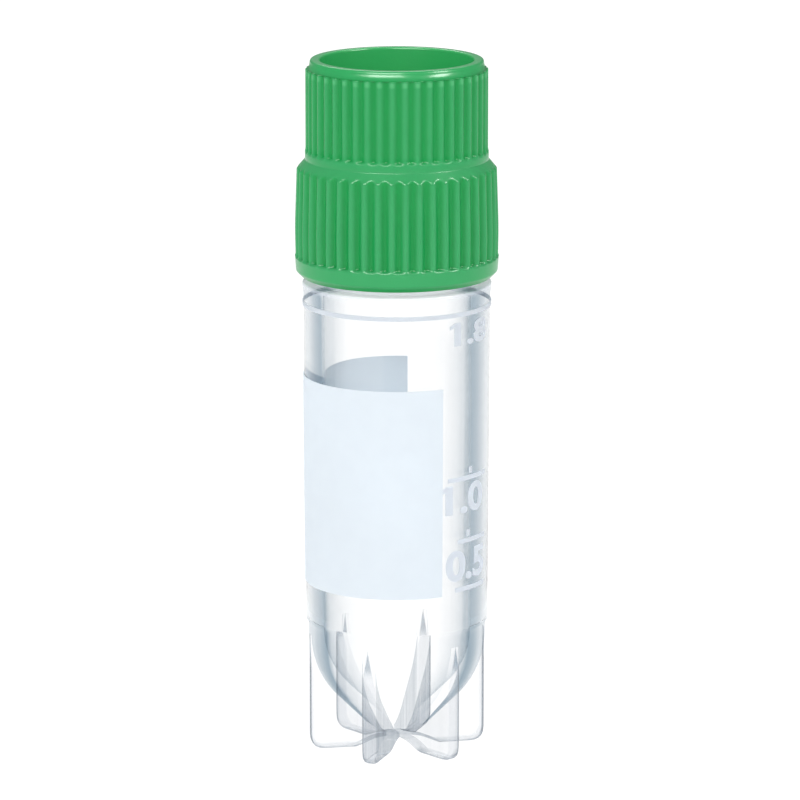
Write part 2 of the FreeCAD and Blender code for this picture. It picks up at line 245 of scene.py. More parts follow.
floor_mesh = bpy.data.meshes.new("floor")
sheet = bmesh.new()
bmesh.ops.create_circle(sheet, cap_ends=True, radius=FLOOR_RADIUS, segments=96)
sheet.to_mesh(floor_mesh)
sheet.free()
floor = bpy.data.objects.new("floor", floor_mesh)
bpy.context.scene.collection.objects.link(floor)

paper = material("floor_paper")
rays = paper.node("ShaderNodeLightPath", output="Is Camera Ray")
seen = rays.at_least(rays.also("Is Transmission Ray")) + rays.also("Is Glossy Ray") * MIRRORED
matt = paper.node("ShaderNodeBsdfDiffuse", {}, {"Color": (PAPER_WHITE, PAPER_WHITE, PAPER_WHITE, 1)})
glow = paper.node("ShaderNodeEmission", {}, {"Color": WHITE, "Strength": PAPER_GLOW})
paper.wear(paper.either(seen * GLOWING_SHARE, matt, glow))
floor_mesh.materials.append(paper.owner)
print("floor", 2 * FLOOR_RADIUS, "m across")

# %% [markdown]
# ## The lamps
# Two soft boxes in front and one behind light the vial evenly. Gloss needs something bright to mirror, but
# bright lamps would wash out the colours. So two more boxes add no matt light, and are seen only as glints on
# the ribs and on the clear wall.

# %% Lamps
def soft_box(name, place, size, power, only_gloss=False):
    """A rectangular lamp that looks at the middle of the vial; its place and size are in metres."""
    lamp = bpy.data.lights.new(name, "AREA")
    lamp.shape = "RECTANGLE"
    lamp.size, lamp.size_y = size
    lamp.energy = power
    holder = bpy.data.objects.new(name, lamp)
    holder.location = place
    holder.visible_diffuse = not only_gloss
    towards = Vector((0, 0, AIM_HEIGHT)) - holder.location
    holder.rotation_euler = towards.to_track_quat("-Z", "Y").to_euler()
    bpy.context.scene.collection.objects.link(holder)


soft_box("key_front", place=(-0.28, -0.40, 0.36), size=(0.34, 0.10), power=1.0)
soft_box("key_right", place=(0.44, -0.25, 0.36), size=(0.30, 0.10), power=0.6)
soft_box("back", place=(-0.05, 0.45, 0.38), size=(0.30, 0.10), power=0.8)
soft_box("glint_front", place=(-0.14, -0.47, 0.38), size=(0.46, 0.22), power=6.0, only_gloss=True)
soft_box("glint_right", place=(0.46, -0.20, 0.38), size=(0.20, 0.26), power=4.0, only_gloss=True)
print("lamps:", [lamp.name for lamp in bpy.data.lights])

# %% [markdown]
# ## Turned forms
# The cap and the tube both come out of round moulds, so each starts as an outline that is spun once round the
# axis. The outline is a short list of corners with a bend at each, since no moulded edge is quite sharp. Rows
# are added only where something will be pressed into the wall, such as a flute or a thread.

# %% Outlines
NEARLY_HALF = 0.49


def bent(corners, steps=5):
    """Outline points from corners (radius, height, bend) in mm; a bend turns its corner into a small arc."""
    points = []
    for i, (radius, height, bend) in enumerate(corners):
        here = Vector((radius, height))
        if not bend:
            points.append(here)
            continue
        before = Vector(corners[i - 1][:2]) - here
        after = Vector(corners[i + 1][:2]) - here
        reach = bend / math.tan(before.angle(after) / 2)
        reach = min(reach, before.length * NEARLY_HALF, after.length * NEARLY_HALF)
        start = here + before.normalized() * reach
        end = here + after.normalized() * reach
        for k in range(steps + 1):
            share = k / steps
            points.append(start.lerp(here, share).lerp(here.lerp(end, share), share))
    return points


def graded(points, spacing):
    """The same outline in rows no longer than spacing(height), by halving what is too long."""
    def halved(start, end):
        middle = (start + end) / 2
        if (end - start).length <= spacing(middle.y):
            return [end]
        return halved(start, middle) + halved(middle, end)

    rows = [points[0]]
    for start, end in zip(points, points[1:]):
        rows += halved(start, end)
    return rows


def round_cone(tip_height, tip_r, side_r, steps=10):
    """A round tip, a 45 degree cone and a ball that ends upright at side_r, from the axis outwards."""
    tip_centre = tip_height + tip_r
    ball_centre = tip_centre + (side_r - tip_r) * math.sqrt(2)
    points = []
    for radius, centre, first in ((tip_r, tip_centre, -math.pi / 2), (side_r, ball_centre, -math.pi / 4)):
        for k in range(steps + 1):
            angle = first + math.pi / 4 * k / steps
            points.append(Vector((radius * math.cos(angle), centre + radius * math.sin(angle))))
    points[0].x = 0
    return points


print("a corner with a bend of 0.2 becomes", len(bent([(1, 0, 0), (1, 1, 0.2), (0, 1, 0)])) - 2, "points")

# %% [markdown]
# ## Spinning
# A Screw modifier could turn the outline too, but the ribs and the thread move single points afterwards, so
# the skin is made at once with the spin operator. Each end of the outline lies on the axis and comes out as a
# heap of points. Merging the doubles makes one pole of each heap and closes the skin.

# %% Spinning
SAME_POINT = 0.0002 * MM


def spun(outline, columns, azimuth=0.0):
    """Spin an outline round the vial's axis into one closed skin, with its first column at an azimuth."""
    sheet = bmesh.new()
    east, north = math.sin(math.radians(azimuth)), -math.cos(math.radians(azimuth))
    line = [sheet.verts.new((p.x * east * MM, p.x * north * MM, p.y * MM)) for p in outline]
    edges = [sheet.edges.new(pair) for pair in zip(line, line[1:])]
    bmesh.ops.spin(sheet, geom=line + edges, axis=(0, 0, 1), cent=(0, 0, 0),
                   angle=math.tau, steps=columns, use_merge=True)
    bmesh.ops.remove_doubles(sheet, verts=sheet.verts, dist=SAME_POINT)
    return sheet


def around(place):
    """Azimuth in degrees, counter-clockwise from the front, of a point on the part."""
    return math.degrees(math.atan2(place.x, -place.y))


def radius_and_height(place):
    """Distance from the axis and height of a point, in mm."""
    return math.hypot(place.x, place.y) / MM, place.z / MM


def set_radius(place, radius):
    """Move a point straight out or in to this radius in mm."""
    across = math.hypot(place.x, place.y)
    place.x *= radius * MM / across
    place.y *= radius * MM / across


def smooth_step(low, high, value):
    """0 below low, 1 above high, and a smooth step from one to the other."""
    share = min(max((value - low) / (high - low), 0), 1)
    return share * share * (3 - 2 * share)


print("halfway up a smooth step:", smooth_step(0, 2, 1))

# %% Pieces
def added(name, sheet, body, slot, *nodes):
    """Turn a finished bmesh into a piece that rides on a body and stands for CAD nodes."""
    bmesh.ops.recalc_face_normals(sheet, faces=sheet.faces)
    mesh = bpy.data.meshes.new(name)
    sheet.to_mesh(mesh)
    sheet.free()
    mesh.shade_smooth()
    piece = bpy.data.objects.new(name, mesh)
    bpy.context.scene.collection.objects.link(piece)
    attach(piece, body)
    if nodes:
        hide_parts(*nodes)
    return piece


print("turning helpers ready")

# %% [markdown]
# ## The thread
# One coarse ridge climbs the neck and a matching one lines the cap. It has sloping flanks and round ends. It
# could be swept up a helix and joined to the wall, but a ridge that grows out of the wall keeps it one skin.
# So each point of the wall moves out by an amount that falls from the crest to the root with its distance
# from the ridge's centre line.

# %% Thread height
PITCH = 3.0
TURNS = 1.25
THREAD_DEPTH = 0.36
HALF_ROOT = 0.65
HALF_CREST = 0.35
ON_WALL = 0.01  # a point as close as this to a wall is on it


def thread_height(azimuth, height, wall_r, low_azimuth, low_height):
    """How far the ridge stands out of its wall at this azimuth and height, in mm."""
    nearest = HALF_ROOT
    first_turn = (azimuth - low_azimuth) % 360.0
    for start in (first_turn - 360.0, first_turn, first_turn + 360.0):
        along = min(max(start, 0.0), 360.0 * TURNS)
        aside = math.radians(start - along) * wall_r
        climb = height - (low_height + PITCH * along / 360.0)
        nearest = min(nearest, math.hypot(aside, climb))
    return THREAD_DEPTH * (1 - smooth_step(HALF_CREST, HALF_ROOT, nearest))


print("ridge at its start:", thread_height(0.0, 0.0, 5.0, 0.0, 0.0), "mm high")

# %% [markdown]
# ## The cap
# The cap is moulded in one piece. Its skirt bulges slightly, 45 ribs run up it, and a sloping shoulder leads
# to a narrower drum with the same number of ribs. Above the drum a plain lip rings a deep round well, where a
# coloured disc can be pressed in. The outline runs up the outside, down into the well, and back through the
# cavity over the neck, so the spin gives one closed skin.

# %% Cap outline
cap_low, cap_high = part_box("screw_cap")
CAP_FOOT = cap_low[2] / MM
CAP_TOP = cap_high[2] / MM
CAP_BULGE_R = cap_high[0] / MM
PLAIN_BAND_TOP = CAP_FOOT + 1.35
SKIRT_TOP = CAP_FOOT + 7.2
SKIRT_TOP_R = 6.73
DRUM_FOOT = SKIRT_TOP + 0.7
DRUM_BAND_TOP = DRUM_FOOT + 0.55
DRUM_TOP = CAP_TOP - 0.65
DRUM_R = 6.13
LIP_FOOT_R = 5.87
WELL_R = 5.12
WELL_FLOOR = CAP_TOP - 6.6
MOUTH_R = 6.22
CAVITY_R = 6.02
CEILING = WELL_FLOOR - 1.2

outside = bent([
    (MOUTH_R, CAP_FOOT, 0),
    (6.34, CAP_FOOT, 0.12),
    (6.76, CAP_FOOT + 0.42, 0.2),
    (6.82, PLAIN_BAND_TOP, 0),
    (CAP_BULGE_R, CAP_FOOT + 3.3, 30.0),
    (SKIRT_TOP_R, SKIRT_TOP, 0.16),
    (DRUM_R, DRUM_FOOT, 0.12),
    (DRUM_R, DRUM_TOP, 0.22),
    (LIP_FOOT_R, DRUM_TOP, 0),
])
lip_and_well = bent([
    (LIP_FOOT_R, DRUM_TOP, 0),
    (LIP_FOOT_R - 0.1, CAP_TOP, 0.2),
    (WELL_R, CAP_TOP, 0.16),
    (WELL_R, WELL_FLOOR, 0.4),
    (0, WELL_FLOOR, 0),
])
cavity = bent([
    (0, CEILING, 0),
    (CAVITY_R, CEILING, 0.2),
    (CAVITY_R, CAP_FOOT + 0.2, 0),
    (MOUTH_R, CAP_FOOT, 0),
])
print("cap from", round(CAP_FOOT, 2), "to", round(CAP_TOP, 2), "mm")

# %% [markdown]
# ## The ribs
# The ribs are what the fingers feel, so they are real geometry and not a picture of ribs. After the spin,
# each point of the wall moves in towards the floor of its groove, by a wave that has one crest for each rib.
# The ribs' ends stay as small ledges, and where the grooves meet the sloping shoulder its edge is scalloped.

# %% Ribs
RIB_COUNT = 45
RIB_AZIMUTH = 5.1
RIB_RELIEF = 0.03
LEDGE = 0.1
SKIRT_FLOOR_R = 6.5
DRUM_FLOOR_R = 5.9
SKIRT_NARROWNESS = 1.2
DRUM_NARROWNESS = 1.0
CREASE_BLEND = 0.03


def rib_wave(azimuth, narrowness):
    """1 on the crest of a rib and 0 on the floor of a groove."""
    wave = (1 + math.cos(math.radians(RIB_COUNT * (azimuth - RIB_AZIMUTH)))) / 2
    return wave ** narrowness


def softer_of(first, second):
    """The smaller of two radii, with the crease between them rounded."""
    return (first + second - math.hypot(first - second, CREASE_BLEND)) / 2


def grooved(radius, height, ledge_height, floor_r, crest_r, wave):
    """The wall's radius where ribs stand on a floor, starting from a small ledge at a height."""
    cut = softer_of(radius, floor_r + (crest_r - floor_r) * wave)
    return radius + (cut - radius) * smooth_step(ledge_height, ledge_height + LEDGE, height)


def fluted_radius(radius, height, azimuth):
    """The radius of a point of the cap's outside once the ribs are pressed in."""
    if PLAIN_BAND_TOP < height < DRUM_FOOT + 0.05:
        crest_r = max(radius, SKIRT_TOP_R) - RIB_RELIEF
        wave = rib_wave(azimuth, SKIRT_NARROWNESS)
        return grooved(radius, height, PLAIN_BAND_TOP, SKIRT_FLOOR_R, crest_r, wave)
    if DRUM_BAND_TOP < height < DRUM_TOP:
        wave = rib_wave(azimuth, DRUM_NARROWNESS)
        return grooved(radius, height, DRUM_BAND_TOP, DRUM_FLOOR_R, DRUM_R - RIB_RELIEF, wave)
    return radius


print("grooves", round(CAP_BULGE_R - SKIRT_FLOOR_R, 2), "mm deep at the widest place of the skirt")

# %% Cap
COLUMNS_A_RIB = 10
FINEST_ROW, COARSEST_ROW, ROW_GROWTH = 0.07, 0.8, 0.6
CAVITY_ROW = 0.3
THREAD_ROOM = 0.3
OUTSIDE_FROM_R = 5.8
CAP_THREAD_LOW = (-102.4, CAP_FOOT + 0.95)  # azimuth and height, just under the neck's ridge all along


def cap_rows(height):
    """Rows crowd towards the ledges and the scalloped edge, where the ribs change quickly."""
    ledges = (PLAIN_BAND_TOP + 0.05, SKIRT_TOP + 0.15, DRUM_BAND_TOP + 0.05, DRUM_TOP - 0.15)
    nearest = min(abs(height - ledge) for ledge in ledges)
    return min(COARSEST_ROW, FINEST_ROW + ROW_GROWTH * nearest)


cap_outline = graded(outside, cap_rows) + lip_and_well[1:] + graded(cavity, lambda height: CAVITY_ROW)
cap_sheet = spun(cap_outline, RIB_COUNT * COLUMNS_A_RIB, RIB_AZIMUTH)
for vert in cap_sheet.verts:
    radius, height = radius_and_height(vert.co)
    if radius > OUTSIDE_FROM_R and height > PLAIN_BAND_TOP:
        set_radius(vert.co, fluted_radius(radius, height, around(vert.co)))
    if abs(radius - CAVITY_R) < ON_WALL and height < CEILING - THREAD_ROOM:
        ridge = thread_height(around(vert.co), height, CAVITY_R, *CAP_THREAD_LOW)
        set_radius(vert.co, CAVITY_R - ridge)
cap = added("fluted_cap", cap_sheet, "cap", "green_plastic", "screw_cap")
print("cap faces:", len(cap.data.polygons))

# %% [markdown]
# ## The tube
# The tube is one clear moulding: a drafted barrel, a bowl that narrows to a rounded cone, a shoulder with a
# slight flare, a threaded neck, and a star of six fins for a foot. Light bends at every surface of it, so it
# must be one closed skin. A sheet with a Solidify modifier would have the same wall all over, so here both
# sides of the wall are drawn. This step spins it, and the next ones melt the fins into it.

# %% Tube outline
_, tube_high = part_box("vial_tube")
RIM = tube_high[2] / MM
COLLAR_R = tube_high[0] / MM
SHOULDER = RIM - 6.4
STEP = 9.0
BAND_R = 5.97
BODY_R_LOW = 6.14
BODY_R_HIGH = COLLAR_R - 0.1
NECK_R = 5.56
BORE_R = 4.96
TIP = 0.966
TIP_R = 3.4
BOWL_WALL = 1.1

tube_outside = round_cone(TIP, TIP_R, BAND_R) + bent([
    (BAND_R, STEP - 0.17, 0),
    (BODY_R_LOW, STEP, 0.1),
    (BODY_R_HIGH, SHOULDER - 0.75, 3.0),
    (COLLAR_R, SHOULDER, 0.14),
    (NECK_R, SHOULDER, 0.12),
    (NECK_R, RIM, 0.16),
    (BORE_R, RIM, 0.16),
    (BORE_R, RIM - 0.5, 0),
])
tube_inside = round_cone(TIP + BOWL_WALL, TIP_R - BOWL_WALL, BORE_R)
tube_inside.reverse()
print("tube up to", round(RIM, 2), "mm, wall", round(BODY_R_LOW - BORE_R, 2), "mm")

# %% Tube wall
TUBE_COLUMNS = 240
THREAD_ROW, PLAIN_ROW = 0.1, 1.5
NECK_FOOT = SHOULDER + THREAD_ROOM
NECK_THREAD_END = 200.0
RIM_TO_THREAD = 0.8
NECK_THREAD_LOW = (NECK_THREAD_END - 360.0 * TURNS, RIM - RIM_TO_THREAD - HALF_ROOT - PITCH * TURNS)


def tube_rows(height):
    """Close rows where the thread is pressed into the neck, and wide ones elsewhere."""
    return THREAD_ROW if NECK_FOOT < height < RIM - THREAD_ROOM else PLAIN_ROW


def faces_the_bore(face):
    """Whether a face of the wall looks inwards or up, and lies no farther out than the bore."""
    middle = face.calc_center_median()
    across = math.hypot(middle.x, middle.y)
    outwards = (face.normal.x * middle.x + face.normal.y * middle.y) / max(across, 0.001 * MM)
    return outwards < face.normal.z and across < (BORE_R + ON_WALL) * MM


wall_sheet = spun(graded(tube_outside, tube_rows) + tube_inside, TUBE_COLUMNS)
for vert in wall_sheet.verts:
    radius, height = radius_and_height(vert.co)
    if abs(radius - NECK_R) < ON_WALL and height > NECK_FOOT:
        ridge = thread_height(around(vert.co), height, NECK_R, *NECK_THREAD_LOW)
        set_radius(vert.co, NECK_R + ridge)
bmesh.ops.recalc_face_normals(wall_sheet, faces=wall_sheet.faces)
for face in wall_sheet.faces:
    face.material_index = int(faces_the_bore(face))
tube = added("moulded_tube", wall_sheet, "tube", "clear_plastic", "vial_tube")
for part in ("outer_skin", "bore_skin"):
    tube.data.materials.append(bpy.data.materials.new(part))
print("tube faces before the foot:", len(tube.data.polygons))

# %% [markdown]
# ## The star foot
# Six thin fins let the vial stand, and lock it in a rack while the cap is turned with one hand. Two opposite
# fins are one plate through the axis, so three plates make the star. A plate is a flat outline, extruded and
# bevelled along its outer edges. Its upper side follows the middle of the bowl's wall, so that no two
# surfaces lie on each other when it is joined.

# %% Fin plate
FOOT_R = 6.0
FIN_THICKNESS = 0.95
FIN_BEVEL = 0.28
CORNER_R = 1.0
FIN_AZIMUTHS = (-19.0, 41.0, 101.0)
FIN_TOP = TIP + TIP_R + (BAND_R - TIP_R) * math.sqrt(2)
ARCH_HEIGHT = 0.8
ARCH_R = 3.0


def fin_outline():
    """Outline of a plate's two fins: bowl side, outer edges, rounded corners, flats and the arch."""
    mid_wall = round_cone(TIP + BOWL_WALL / 2, TIP_R - BOWL_WALL / 2, BAND_R - BOWL_WALL / 2)
    foot = bent([
        (FOOT_R, FIN_TOP, 0),
        (FOOT_R, 0, CORNER_R),
        (ARCH_R, 0, 0),
        (ARCH_R / 2, ARCH_HEIGHT * 0.8, 3.0),
        (0, ARCH_HEIGHT, 0),
    ])
    half = mid_wall[:-1] + [Vector((mid_wall[-1].x, FIN_TOP))] + foot
    return half + [Vector((-p.x, p.y)) for p in reversed(half[1:-1])]


def bevelled(edge):
    """The long edges of a plate, down its outer sides, round its corners and along its flats."""
    ends = [(abs(v.co.x) / MM, v.co.z / MM) for v in edge.verts]
    along_side = abs(edge.verts[0].co.y - edge.verts[1].co.y) < ON_WALL * MM
    past_arch = all(x > ARCH_R - ON_WALL for x, z in ends)
    at_rim = all(x > FOOT_R - CORNER_R - ON_WALL or z < ON_WALL for x, z in ends)
    along_top = all(z > FIN_TOP - ON_WALL for x, z in ends)
    in_bowl_wall = all(x < FOOT_R - FIN_BEVEL and z > FIN_BEVEL for x, z in ends)
    return along_side and past_arch and at_rim and not along_top and not in_bowl_wall


def fin_plate(azimuth):
    """A plate through the axis with two fins."""
    sheet = bmesh.new()
    side = [sheet.verts.new((p.x * MM, -FIN_THICKNESS / 2 * MM, p.y * MM)) for p in fin_outline()]
    face = sheet.faces.new(side)
    grown = bmesh.ops.extrude_face_region(sheet, geom=[face])["geom"]
    moved = [item for item in grown if isinstance(item, bmesh.types.BMVert)]
    bmesh.ops.translate(sheet, verts=moved, vec=(0, FIN_THICKNESS * MM, 0))
    bmesh.ops.recalc_face_normals(sheet, faces=sheet.faces)
    bmesh.ops.bevel(sheet, geom=[e for e in sheet.edges if bevelled(e)], affect="EDGES",
                    offset=FIN_BEVEL * MM, segments=3, profile=0.5, material=-1)
    turn = Matrix.Rotation(math.radians(azimuth - 90.0), 3, "Z")
    bmesh.ops.rotate(sheet, verts=sheet.verts, cent=(0, 0, 0), matrix=turn)
    mesh = bpy.data.meshes.new("fin_plate")
    sheet.to_mesh(mesh)
    mesh.materials.append(fin_slot)
    sheet.free()
    plate = bpy.data.objects.new("fin_plate", mesh)
    bpy.context.scene.collection.objects.link(plate)
    return plate


fin_slot = bpy.data.materials.new("fin_faces")
plates = [fin_plate(azimuth) for azimuth in FIN_AZIMUTHS]
print("faces of a plate:", len(plates[0].data.polygons))

# %% [markdown]
# ## Joining the foot
# Plates that only overlap the bowl would leave walls inside the clear plastic, and light would bend at each
# of them. A Boolean union takes those walls away. Its exact solver copes with the narrow places where fins
# meet, and its transferred slots keep the fins' faces apart from the wall's, for a finish of their own.

# %% Melt the foot in
SHARP_FROM = math.radians(32.0)

for plate in plates:
    union = tube.modifiers.new("foot", "BOOLEAN")
    union.operation = "UNION"
    union.solver = "EXACT"
    union.material_mode = "TRANSFER"
    union.object = plate
melted = bpy.data.meshes.new_from_object(tube.evaluated_get(bpy.context.evaluated_depsgraph_get()))
tube.modifiers.clear()
tube.data = melted
for plate in plates:
    bpy.data.objects.remove(plate)
melted.shade_smooth()
melted.set_sharp_from_angle(angle=SHARP_FROM)
print("tube faces with its foot:", len(melted.polygons))

# %% [markdown]
# ## Printed numbers
# The volume marks have small numbers beside them, printed in the same white ink. An image could carry them,
# but real letters stay sharp from close by. Each number starts as flat lettering, is cut into narrow strips
# so that it can bend, and is then wrapped round the wall. The figure one of the built-in font is a bare
# stroke, so it gets the small flag that a printed one has.

# %% Lettering
INK_GAP = 0.02
INK_THICKNESS = 0.04
FONT_SIZE_A_DIGIT = 1.4
STROKE_GAIN = 0.045
ONE_FLAG = ((0.04, 0.0), (0.04, -0.2), (-0.16, -0.3), (-0.16, -0.14))


def lettering(text, tall):
    """Flat text as a thin slab in the XY plane, its digits this tall in mm."""
    letters = bpy.data.curves.new("number", "FONT")
    letters.body = text
    letters.size = tall * FONT_SIZE_A_DIGIT * MM
    letters.align_x = "CENTER"
    letters.align_y = "CENTER"
    letters.offset = STROKE_GAIN * tall * MM
    letters.extrude = INK_THICKNESS / 2 * MM
    flat = bpy.data.objects.new("number", letters)
    bpy.context.scene.collection.objects.link(flat)
    mesh = bpy.data.meshes.new_from_object(flat.evaluated_get(bpy.context.evaluated_depsgraph_get()))
    bpy.data.objects.remove(flat)
    sheet = bmesh.new()
    sheet.from_mesh(mesh)
    bpy.data.meshes.remove(mesh)
    return sheet


def add_flag(sheet, tall):
    """Set the flag at the top left of a text that starts with a one."""
    left = min(vert.co.x for vert in sheet.verts)
    top = max(vert.co.y for vert in sheet.verts)
    corners = [
        sheet.verts.new((left + aside * tall * MM, top + drop * tall * MM, side * INK_THICKNESS / 2 * MM))
        for aside, drop in ONE_FLAG for side in (-1, 1)
    ]
    bmesh.ops.convex_hull(sheet, input=corners)


print("digit height over font size:", round(1 / FONT_SIZE_A_DIGIT, 2))

# %% Numbers
STRIP = 0.2 * MM
NUMBERS = (  # text, height, azimuth, digit height and stretch along the wall
    ("1.8", 29.4, 51.0, 1.5, 1.6),
    ("1.0", 18.1, 46.0, 1.9, 1.35),
    ("0.5", 13.55, 51.0, 2.0, 1.2),
)


def body_radius(height):
    """Radius of the drafted barrel at a height."""
    return BODY_R_LOW + (BODY_R_HIGH - BODY_R_LOW) * (height - STEP) / (SHOULDER - STEP)


def printed(text, height, azimuth, tall, stretch):
    """A number wrapped round the tube with its middle at an azimuth and height."""
    sheet = lettering(text, tall)
    if text.startswith("1"):
        add_flag(sheet, tall)
    for vert in sheet.verts:
        vert.co.x *= stretch
    reach = max(abs(vert.co.x) for vert in sheet.verts)
    for k in range(-math.ceil(reach / STRIP), math.ceil(reach / STRIP) + 1):
        parts = sheet.verts[:] + sheet.edges[:] + sheet.faces[:]
        bmesh.ops.bisect_plane(sheet, geom=parts, plane_co=(k * STRIP, 0, 0), plane_no=(1, 0, 0))
    for vert in sheet.verts:
        level = height + vert.co.y / MM
        radius = body_radius(level) + INK_GAP + INK_THICKNESS / 2 + vert.co.z / MM
        turn = math.radians(azimuth) + vert.co.x / MM / body_radius(height)
        vert.co = Vector((radius * math.sin(turn), -radius * math.cos(turn), level)) * MM
    return sheet


number_pieces = []
for text, *layout in NUMBERS:
    name = "number_" + text.replace(".", "_")
    piece = added(name, printed(text, *layout), "tube", "white_ink")
    piece.data.shade_flat()
    number_pieces.append(piece)
print("numbers:", [piece.name for piece in number_pieces])

# %% [markdown]
# ## Places and patterns
# A finish often depends on where on the piece it is: on the crest of a rib, at the foot of the barrel, near
# the rim of a fin. These helpers measure the shaded point in mm from its Object coordinates, and make the
# faint clouds and flow lines that a moulded surface has.

# %% Places
def own_place(finish):
    """The shaded point in the part's own coordinates, in metres."""
    return finish.node("ShaderNodeTexCoord", output="Object")


def split(finish, place):
    """The three coordinates of a place, each as a wire."""
    east = finish.node("ShaderNodeSeparateXYZ", {}, {"Vector": place})
    return east, east.also("Y"), east.also("Z")


def across_and_up(finish, place):
    """Distance from the axis and height, in mm, of the point that is shaded."""
    east, north, up = split(finish, place)
    across = (east * east + north * north).root()
    return across * (1 / MM), up * (1 / MM)


def off_fin_plane(finish, place):
    """Distance in mm of a point from the middle plane of the nearest fin plate."""
    east, north, _ = split(finish, place)
    distances = []
    for azimuth in FIN_AZIMUTHS:
        turn = math.radians(azimuth)
        aside = east * math.cos(turn) + north * math.sin(turn)
        distances.append(aside.without_sign())
    first, second, third = distances
    return first.at_most(second).at_most(third) * (1 / MM)


def band(up, starts, full, fades, ends):
    """1 on a band of heights, with soft edges from starts to full and from fades to ends."""
    return up.between(starts, full) * (1.0 - up.between(fades, ends))


print("places ready")

# %% Patterns
def noise(finish, place, scale, detail):
    """Smooth random patches from 0 to 1."""
    return finish.node(
        "ShaderNodeTexNoise", {}, {"Vector": place, "Scale": scale, "Detail": detail}, output="Fac"
    )


def flow_lines(finish, place, scale, drawn_out):
    """Noise drawn out along the vial's axis, as the melt flows in the mould."""
    stretched = finish.node("ShaderNodeMapping", {}, {"Vector": place, "Scale": (1.0, 1.0, drawn_out)})
    return noise(finish, stretched, scale, detail=2.0)


def bump(finish, height, strength, distance):
    """A slight unevenness of the surface; its distance is in metres."""
    return finish.node(
        "ShaderNodeBump", {}, {"Strength": strength, "Distance": distance, "Height": height}
    )


def graph(finish, value, stops):
    """A number that follows a line through stops (value, number). The sum turns the ramp's grey into it."""
    greys = [(at, (number,) * 3) for at, number in stops]
    return finish.node("ShaderNodeValToRGB", {"stops": greys}, {"Fac": value}) * 1.0


print("patterns ready")

# %% [markdown]
# ## Clear plastic
# The tube is moulded from a clear plastic with a faint blue cast. Its sides are painted grey blue, darker as
# the wall turns from the eye, a painted shade in place of the darker surroundings that a clear wall bends into
# view; its middle stays clean. The barrel really bends light. The bowl, the foot and the neck would bend it
# many times over and turn black, so they are tinted windows, and what came into the wall by such a window
# leaves it unbent. Lamp light passes straight through all of it.

# %% Windows
CLEAR_IOR = 1.45
FILL_TINT = (0.95, 0.96, 0.97, 1)


def see_through(finish, gloom, dark, haze, share):
    """Plastic that doesn't bend light: a window as dark as its gloom, with a share of pale body in it."""
    clear = finish.node("ShaderNodeBsdfTransparent", {}, {"Color": WHITE})
    tinted = finish.node("ShaderNodeBsdfTransparent", {}, {"Color": dark})
    window = finish.either(gloom, clear, tinted)
    body = finish.node("ShaderNodeBsdfPrincipled", {}, {
        "Base Color": haze,
        "Roughness": 0.12,
        "IOR": CLEAR_IOR,
    })
    return finish.either(share, window, body)


def clear_to_fill_light(finish, plastic):
    """Let lamp light, and light on its way to a matt surface, straight through the plastic."""
    rays = finish.node("ShaderNodeLightPath", output="Is Shadow Ray")
    fill = rays.at_least(rays.also("Diffuse Depth").at_most(1.0))
    window = finish.node("ShaderNodeBsdfTransparent", {}, {"Color": FILL_TINT})
    finish.wear(finish.either(fill, plastic, window))


def facing_round(finish, place):
    """How far the wall has turned from the eye round the axis: 0 in the middle, near 1 at the sides."""
    east, north, _ = split(finish, place)
    level = finish.node("ShaderNodeCombineXYZ", {}, {"X": east, "Y": north})
    outwards = finish.node("ShaderNodeVectorMath", {"operation": "NORMALIZE"}, {0: level})
    return finish.node("ShaderNodeLayerWeight", {}, {"Blend": 0.5, "Normal": outwards}, output="Facing")


print("windows ready")

# %% Clear plastic
# Painted shade for the clear wall: its darkest tint, and how dark the outer skin and the bore are painted as
# they turn from the eye.
PAINTED_WALL_SHADE = shade(140, 160, 173)
BOWL_EXTRA_GLOOM = 0.06
OUTER_PAINTED_SHADE = (
    (0.0, 0.0), (0.14, 0.06), (0.26, 0.22), (0.34, 0.38), (0.42, 0.9),
    (0.5, 0.79), (0.58, 0.65), (0.68, 0.44), (1.0, 0.32),
)
BORE_PAINTED_SHADE = ((0.0, 0.0), (0.3, 0.03), (0.6, 0.2), (0.85, 0.31), (1.0, 0.46))


def wall_plastic(name, barrel_foot, painted_shade_stops):
    """Clear plastic that bends light in the barrel and lets it straight through in the bowl and the neck."""
    skin = material(name)
    place = own_place(skin)
    across, up = across_and_up(skin, place)
    cloud = noise(skin, place, scale=260.0, detail=3.0)
    streaks = flow_lines(skin, place, scale=800.0, drawn_out=0.02)
    uneven = (cloud - 0.5) * 0.05 + (streaks - 0.5) * 0.14
    facing = (facing_round(skin, place) + uneven) * across.between(0.4, 2.6)
    leaving = skin.node("ShaderNodeNewGeometry", output="Backfacing")
    in_bowl = 1.0 - up.between(STEP - 0.6, STEP - 0.1)
    # Painted shade: the wall darkens as it turns from the eye round the axis, and a little more in the bowl.
    gloom = graph(skin, facing, painted_shade_stops) * (in_bowl * BOWL_EXTRA_GLOOM + 1.0) * (1.0 - leaving)

    tint = skin.mix(gloom, WHITE, PAINTED_WALL_SHADE)
    two_skins = skin.node("ShaderNodeVectorMath", {"operation": "MULTIPLY"}, {0: tint, 1: tint})
    solid = skin.node("ShaderNodeBsdfPrincipled", {}, {
        "Base Color": two_skins,
        "Roughness": 0.0,
        "IOR": CLEAR_IOR,
        "Transmission Weight": 1.0,
        "Normal": bump(skin, cloud, strength=0.02, distance=0.0002),
    })
    haze = skin.mix(cloud, shade(214, 221, 229), shade(234, 239, 245))
    misty_collar = up.between(SHOULDER - 0.5, SHOULDER)
    share = facing * facing * facing * 0.12 + misty_collar * 0.4 + 0.02
    thin = see_through(skin, gloom, PAINTED_WALL_SHADE, haze, share)

    barrel = band(up, barrel_foot, barrel_foot + 0.1, SHOULDER - 1.6, SHOULDER - 0.9)
    bent_before = skin.node("ShaderNodeLightPath", output="Transmission Depth")
    straight = leaving * (1.0 - bent_before.at_most(1.0))
    clear_to_fill_light(skin, skin.either(barrel * (1.0 - straight), thin, solid))
    return skin


